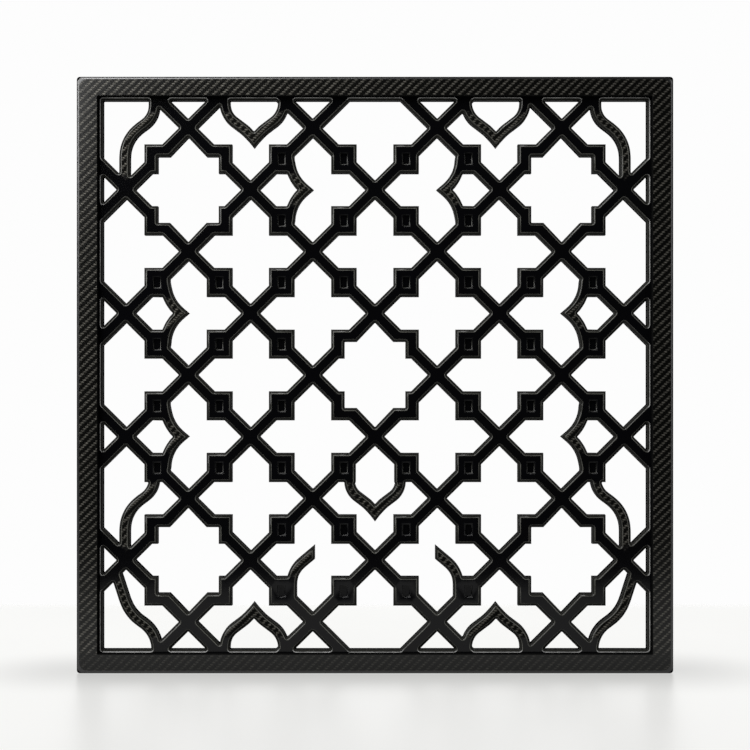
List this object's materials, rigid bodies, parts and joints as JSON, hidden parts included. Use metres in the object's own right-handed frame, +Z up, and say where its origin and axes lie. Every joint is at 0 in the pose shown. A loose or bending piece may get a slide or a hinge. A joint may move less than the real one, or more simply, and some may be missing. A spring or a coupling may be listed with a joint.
{
  "type": "mashrabiya screen",
  "caption": "Square standing screen: a deep woven-finish frame around a pierced plate of diagonal straps, rectangular bosses, star openings and curved ogee bands.",
  "frame": {"origin": "bottom centre of the whole screen, on the surface it stands on", "axes": "+Z up, the front faces -Y, +X to the right as seen from the front"},
  "size_m": [0.6, 0.04, 0.6],
  "materials": {
    "woven_carbon": "carbon-fibre twill under a clear coat",
    "black_gloss": "gloss black lacquer"
  },
  "bodies": {
    "root": {"frame": "woven_carbon", "lattice": "black_gloss"}
  },
  "joints": []
}
